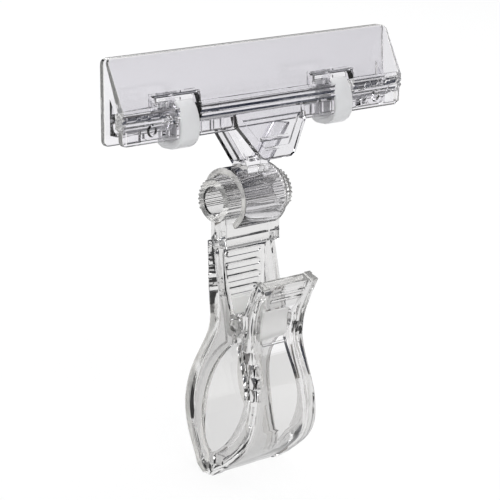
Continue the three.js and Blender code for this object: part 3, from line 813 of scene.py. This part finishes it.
pocket = [(-7.92, 16.5), (-2.13, 8.2), (2.13, 8.2), (7.92, 16.5)]
pockets = [pulled(pocket, -5.0, web_front, "Y"), pulled(pocket, web_back, 2.0, "Y")]
bridge = brick(-7.6, 7.6, -1.55, -0.75, 14.6, 17.1, 0)
barrel_room = bar(0, 0, 5.05, -20, 20, sides=72)
funnel = fused(fused(funnel_body(), cut=pockets), [bridge, socket_body()], [barrel_room])
print("funnel and socket:", len(funnel.faces), "faces")

# %% [markdown]
# ## The upright sign plate: fused
# The rear half of the sign clip is a flat plate with rounded corners, an outline pulled straight. A rail
# behind each end of the hinge bar carries the groove of the sign's own hinge, a small gusset stiffens each
# end, and a slot lets each ring spring through. A groove could be drawn into the rails' section; cutting it
# with a bar along the hinge keeps it true to the bead that rocks in it.

# %% Upright sign plate: fused
sign_half, plate_top, plate_corner = 40, 33.6, 1.3
plate_front, plate_back = -1.7, -0.5
bead_y, bead_z = -4.5, 20.0
groove_radius, bead_radius = 1.8, 1.5
ring_x, slot_half = 22.2, 2.9
stretches = [(-38.5, -ring_x - 3.2), (ring_x + 3.2, 38.5)]


def raised(bm):
    """Moves a piece drawn about the barrel's axis to its place."""
    bmesh.ops.translate(bm, vec=(0, axis_y, axis_z), verts=bm.verts)
    return bm


def on_plate_rim(spot):
    return abs(spot.x) > 39.7 or spot.z > axis_z + 33.3


def on_socket_end(spot):
    return abs(spot.x) > 6.1 and spot.z < axis_z + 7


rear_outline = plate_outline(sign_half, 15.7, plate_top, plate_corner)
rear_plate = rolled(pulled(rear_outline, plate_front, plate_back, "Y"), 0.25, 3, 50)
rails = [brick(x0, x1, -3.9, -1.4, 17.8, 22.2) for x0, x1 in stretches]
gusset = both_sides(rolled(pulled([(-1.5, 25.7), (-1.5, 20.0), (-3.9, 21.6)], 37.3, 38.5, "X"), 0.12))
groove = bar(bead_y, bead_z, groove_radius, -45, 45)
slots = [brick(x - slot_half, x + slot_half, -0.8, 2.0, 10.0, 23.6, 0) for x in (-ring_x, ring_x)]
rear = raised(fused(rear_plate, [*rails, gusset, funnel], [groove, *slots]))
# Painted light: the plate's rims and the socket's ends get the pale edge finishes.
finished(rear, "upright_plate", clear, "sign_rear", "sign_rear_jaw", clear_smooth,
         [(edges, on_plate_rim), (less_clear_painted_light, on_socket_end)])

# %% [markdown]
# ## The sloping sign plate: its section
# The front half of the sign clip leans against the upright plate along its top edge. Its foot is a hinge
# bar with a step and two shadow lines along the front. Slope and bar are one section, so they are drawn
# once from the side and pulled the whole width; the rounded corners come from clipping that with the
# plate's outline from the front.

# %% Sloping sign plate: its section
side_view = [(-1.9, 33.8), (-2.7, 33.8), (-7.7, 23.2), (-7.8, 22.9), (-7.8, 20.5), (-7.3, 19.95),
             (-7.3, 16.1), (-6.0, 16.1), (-6.0, 19.3), (-5.0, 19.8), (-5.0, 23.0), (-6.0, 23.0)]
upper_line = [(-7.95, 23.3), (-7.5, 22.2), (-7.95, 22.05)]
lower_line = [(-7.95, 21.91), (-7.15, 21.05), (-7.95, 20.85)]
shadow_lines = [pulled(facet, -42, 42, "X") for facet in (upper_line, lower_line)]
trim = pulled(plate_outline(sign_half, 16.3, plate_top, plate_corner), -20, 5, "Y")
plate = rolled(clipped(pulled(side_view, -41, 41, "X"), trim), 0.2, 3, 50)
print("sloping plate before its cuts:", len(plate.faces), "faces")

# %% [markdown]
# ## The sloping sign plate: thumb lever
# A trapezoid lever hangs from the middle of the bar and leans forward, so that it can be pressed. It is its
# side view clipped with its front view, which gives the taper both ways. The panel in its front is two
# insets: a flat border, then a narrow step. A sloping border would work as a prism and turn dark. Two grips
# run across it.

# %% Sloping sign plate: thumb lever
def thumb_lever():
    """The lever with a panel let into its front, and its grips."""
    right_half = [(3.6, 9.6), (4.8, 10.2), (9.9, 17.0), (9.9, 19.6)]
    front_view = [(-x, z) for x, z in reversed(right_half)] + right_half
    side = [(-7.75, 19.7), (-10.6, 9.5), (-9.15, 9.5), (-7.35, 16.0), (-6.05, 19.3), (-6.05, 19.7)]
    bm = clipped(pulled(side, -11, 11, "X"), pulled(front_view, -12, -4, "Y"))
    panel = max(bm.faces, key=lambda f: f.calc_area() * (f.normal.y < -0.9))
    bmesh.ops.inset_region(bm, faces=[panel], thickness=2.1, depth=0)
    bmesh.ops.inset_region(bm, faces=[panel], thickness=0.3, depth=-0.4)
    grips = [bar(-7.9 - (17.0 - z) * 0.29, z, 0.5, -4.1, 4.1, 0.25) for z in (11.6, 13.7)]
    return fused(rolled(bm, 0.15), grips)


lever = thumb_lever()
print("thumb lever:", len(lever.faces), "faces")

# %% [markdown]
# ## The sloping sign plate: windows and cells
# Each ring spring shows in a window of the slope, inside a low housing with a block beside the ring. The
# bar is hollowed into cells to save plastic: plain ones beside the lever and at the ends, and small wedges
# with an overhang, like those that a side core leaves. A cone eye sits among them at each end. All are
# small bodies to cut or join, because each facet of clear plastic shows as a pale or dark spot of its own.

# %% Sloping sign plate: windows and cells
bar_face, band_face, step_height = -7.3, -7.8, 20
eye_x, eye_z = 32.2, 18.9
wedge_depth, wedge_clear = 0.68, 0.3
window_low, window_high = 22.9, 25.3


def wedge(x0, x1, z0, z1):
    """A cut with an overhang at the top, into the lower or the upper face of the bar."""
    front = bar_face if z0 < step_height else band_face
    slope = (z1 - z0) * 0.75
    top = (front - wedge_clear, z1 + wedge_clear * slope / wedge_depth)
    return pulled([top, (front + wedge_depth, z1 - slope), (front - wedge_clear, z0)], x0, x1, "X")


def cone(x, z, front, rear, y0, y1):
    """A round body along Y, with a radius at each end."""
    bm = bmesh.new()
    bmesh.ops.create_cone(bm, cap_ends=True, segments=28, radius1=rear, radius2=front, depth=y1 - y0)
    bmesh.ops.rotate(bm, matrix=Matrix.Rotation(math.pi / 2, 3, "X"), verts=bm.verts)
    bmesh.ops.translate(bm, vec=(x, (y0 + y1) / 2, z), verts=bm.verts)
    return bm


windows, housings, blocks = [], [], []
for x in (-ring_x, ring_x):
    for x0, x1 in ((x - 8.9, x - 4.7), (x - 4.1, x + 2.55)):
        windows.append(brick(x0, x1, -12, -4.0, window_low, window_high, 0))
    windows.append(brick(x - slot_half, x + slot_half, -12, -4.6, 10.0, 24.6, 0))
    housings.append(brick(x - 9.5, x + 3.1, -7.35, -4.9, 22.3, 25.8, 0.15))
    blocks.append(brick(x - 8.5, x - 5.0, -6.8, -5.4, 22.6, 24.2, 0.3))
plain_cells = ((10.3, 12.7), (13.3, 15.5), (16.1, 18.8), (35.2, 38.8))
wedge_cells = ((34.2, 34.8, 17.4, 18.6), (26.2, 27.6, 16.9, 19.3), (28.2, 29.6, 17.3, 18.9),
               (36.4, 38.9, 20.8, 22.2), (33.4, 35.2, 21.2, 22.4), (30.2, 32.6, 20.9, 22.3),
               (26.4, 28.6, 20.4, 22.6))
cells = [both_sides(brick(x0, x1, -9.0, -6.55, 16.9, 19.2, 0)) for x0, x1 in plain_cells]
cells += [both_sides(wedge(*sizes)) for sizes in wedge_cells]
eye_hollow = cone(eye_x, eye_z, 1.0, 0.35, -8.0, -6.9)
eyes = both_sides(fused(cone(eye_x, eye_z, 1.1, 2.1, -7.78, -5.9), cut=[eye_hollow]))
print(len(windows), "window cuts,", len(cells), "pairs of cells")

# %% [markdown]
# ## The sloping sign plate: fused
# The beads that rock in the rails' groove, the housings and the lever join the plate; shadow lines, windows
# and cells are cut from it, and room is left behind the lever. The cuts come before the eyes, the blocks
# and the lever, which stand in hollows that those cuts make.

# %% Sloping sign plate: fused
beads = [bar(bead_y, bead_z, bead_radius, x0 + 0.3, x1 - 0.3, 0.3) for x0, x1 in stretches]
room_side = [(-7.6, 15.0), (-5.5, 15.0), (-5.5, 19.25), (-6.1, 19.25), (-7.4, 15.95), (-7.6, 15.5)]
lever_room = pulled(room_side, -9.8, 9.8, "X")
front = fused(plate, [*beads, *housings], [*shadow_lines, *windows, *cells, lever_room])
front = fused(front, [eyes])
front = raised(fused(front, [*blocks, lever]))
# Painted light: the plate's rims get the pale edge finish.
finished(front, "sloping_plate", clear, "sign_front", "sign_front_jaw", clear_smooth,
         [(edges, on_plate_rim)])

# %% [markdown]
# ## Ring springs
# Two white C-shaped rings squeeze the sign clip's foot. Each is a bent strip like the bow spring: a front
# leg whose top leans in over the slope, a rounded foot and an upright back leg. Wide bevels give the soft
# moulded edge. They cross the sign clip's hinge.

# %% Ring springs
ring_half_width, ring_thickness, ring_edge = 2.6, 1.5, 0.65
ring_path = [(-5.4, 24.1)]
flow(ring_path, (-7.85, 18.2), 2.2, -45, 2.4, 0)
ring_path += arc(-3.65, 17.8, 4.2, 180, 270) + arc(-2.0, 16.6, 3.0, 270, 360) + [(1.0, 20.0), (1.0, 23.0)]
for name, x in (("left", -ring_x), ("right", ring_x)):
    ring = raised(strip(ring_path, x - ring_half_width, x + ring_half_width, ring_thickness, ring_edge))
    piece = finished(ring, f"ring_spring_{name}", white, None, f"sign_spring_{name}", 60)
    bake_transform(piece)

# %% [markdown]
# ## Sky
# Clear plastic is photographed against white with darker surroundings, so that each edge bends a dark line
# into view; in an all-white room it would have no outlines. The sky is white where the lens looks straight
# at it. What is mirrored, or seen through plastic, finds a dark band above the horizon and a pale sky
# overhead. As a light, the sky is plain and dim.

# %% Sky
def lens_rays(nodes, links):
    """A Light Path node, and 1 for rays that reach the lens straight, mirrored or through plastic."""
    path = nodes.new("ShaderNodeLightPath")
    shown = path.outputs["Is Camera Ray"]
    for kind in ("Is Glossy Ray", "Is Transmission Ray"):
        larger = nodes.new("ShaderNodeMath")
        larger.operation = "MAXIMUM"
        links.new(shown, larger.inputs[0])
        links.new(path.outputs[kind], larger.inputs[1])
        shown = larger.outputs["Value"]
    return path, shown


sky = bpy.data.worlds.new("sky")
sky.use_nodes = True
bpy.context.scene.world = sky
nodes, links = sky.node_tree.nodes, sky.node_tree.links
plain = nodes["Background"]
plain.inputs["Color"].default_value = (0.8, 0.82, 0.85, 1)
plain.inputs["Strength"].default_value = 0.38
where = nodes.new("ShaderNodeTexCoord")
split = nodes.new("ShaderNodeSeparateXYZ")
links.new(where.outputs["Generated"], split.inputs["Vector"])
ramp = nodes.new("ShaderNodeValToRGB")
stops = ramp.color_ramp.elements
stops[0].color = (0.3, 0.28, 0.26, 1)
stops[1].position = 0.8
stops[1].color = (0.95, 0.95, 0.95, 1)
for height, tone in ((0.1, (0.05, 0.05, 0.06)), (0.4, (0.04, 0.05, 0.08)), (0.62, (0.5, 0.5, 0.5))):
    stops.new(height).color = (*tone, 1)
links.new(split.outputs["Z"], ramp.inputs["Fac"])
path, shown = lens_rays(nodes, links)
pick = nodes.new("ShaderNodeMix")
pick.data_type = "RGBA"
pick.inputs["B"].default_value = (1, 1, 1, 1)
links.new(path.outputs["Is Camera Ray"], pick.inputs["Factor"])
links.new(ramp.outputs["Color"], pick.inputs["A"])
seen = nodes.new("ShaderNodeBackground")
links.new(pick.outputs["Result"], seen.inputs["Color"])
mixed = nodes.new("ShaderNodeMixShader")
links.new(shown, mixed.inputs["Fac"])
links.new(plain.outputs["Background"], mixed.inputs[1])
links.new(seen.outputs["Background"], mixed.inputs[2])
links.new(mixed.outputs["Shader"], nodes["World Output"].inputs["Surface"])
print("sky stops:", [round(stop.position, 2) for stop in stops])

# %% [markdown]
# ## Floor
# A sheet of pale paper. Under lamps alone it would come out grey, so for rays that reach the lens most of
# it is a white glow; the rest is plain paper, which keeps the holder's soft shadow.

# %% Floor
floor_mesh = bmesh.new()
bmesh.ops.create_grid(floor_mesh, x_segments=1, y_segments=1, size=3)
floor = as_object(floor_mesh, "floor")
paper, nodes, links, shader = new_finish("paper")
shader.inputs["Base Color"].default_value = (0.9, 0.9, 0.9, 1)
shader.inputs["Roughness"].default_value = 0.9
glow = nodes.new("ShaderNodeEmission")
share = nodes.new("ShaderNodeMath")
share.operation = "MULTIPLY"
share.inputs[1].default_value = 0.85
links.new(lens_rays(nodes, links)[1], share.inputs[0])
mixed = nodes.new("ShaderNodeMixShader")
links.new(share.outputs["Value"], mixed.inputs["Fac"])
links.new(shader.outputs["BSDF"], mixed.inputs[1])
links.new(glow.outputs["Emission"], mixed.inputs[2])
links.new(mixed.outputs["Shader"], nodes["Material Output"].inputs["Surface"])
floor.data.materials.append(paper)
print("floor:", [round(v, 1) for v in floor.dimensions], "m")

# %% [markdown]
# ## Lamps
# Three soft boxes, as in a product studio: the key in front on the left, the fill overhead, and the rim
# light behind. Sun lamps would give hard edges; a large area lamp makes the long soft highlights that
# plastic shows.

# %% Lamps
lamp_aim = Vector((0, 0, 0.055))


def soft_box(name, spot, size, power):
    """A square area lamp that looks at the middle of the holder."""
    lamp = bpy.data.lights.new(name, "AREA")
    lamp.size = size
    lamp.energy = power
    light = bpy.data.objects.new(name, lamp)
    aim = (lamp_aim - Vector(spot)).to_track_quat("-Z", "Y")
    light.matrix_world = Matrix.Translation(spot) @ aim.to_matrix().to_4x4()
    bpy.context.scene.collection.objects.link(light)


soft_box("key", (-0.45, -1.0, 0.65), 0.9, 10.5)
soft_box("fill", (0.35, -0.1, 1.25), 0.8, 7)
soft_box("rim", (0.3, 0.9, 0.7), 0.7, 6)
bpy.context.scene.view_settings.view_transform = "Standard"
